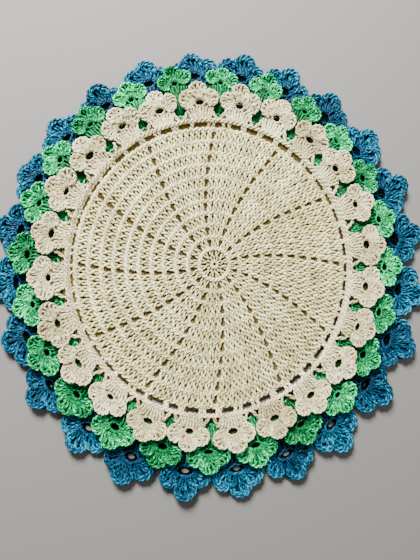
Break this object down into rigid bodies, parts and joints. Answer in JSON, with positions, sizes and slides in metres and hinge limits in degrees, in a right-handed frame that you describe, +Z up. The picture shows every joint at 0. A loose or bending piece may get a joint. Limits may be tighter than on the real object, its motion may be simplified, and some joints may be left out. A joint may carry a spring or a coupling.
{
  "type": "placemat",
  "caption": "Round crocheted placemat: a cream disc with sector eyelets and three overlapping tiers of flower edging in cream, green and blue.",
  "frame": {"origin": "centre of the mat on the surface it lies on, at the bottom centre of its bounding box", "axes": "+Z up, out of the face that is seen; the mat lies flat in X and Y, +Y towards the far side in the picture"},
  "size_m": [0.372, 0.3816, 0.0108],
  "materials": {
    "cream_cotton": "matt twisted cotton string",
    "green_cotton": "shaded green cotton string, slight lustre",
    "blue_cotton": "petrol blue cotton string, slight lustre"
  },
  "bodies": {
    "root": {"cream_mat": "cream_cotton", "green_border": "green_cotton", "blue_border": "blue_cotton"}
  },
  "joints": []
}
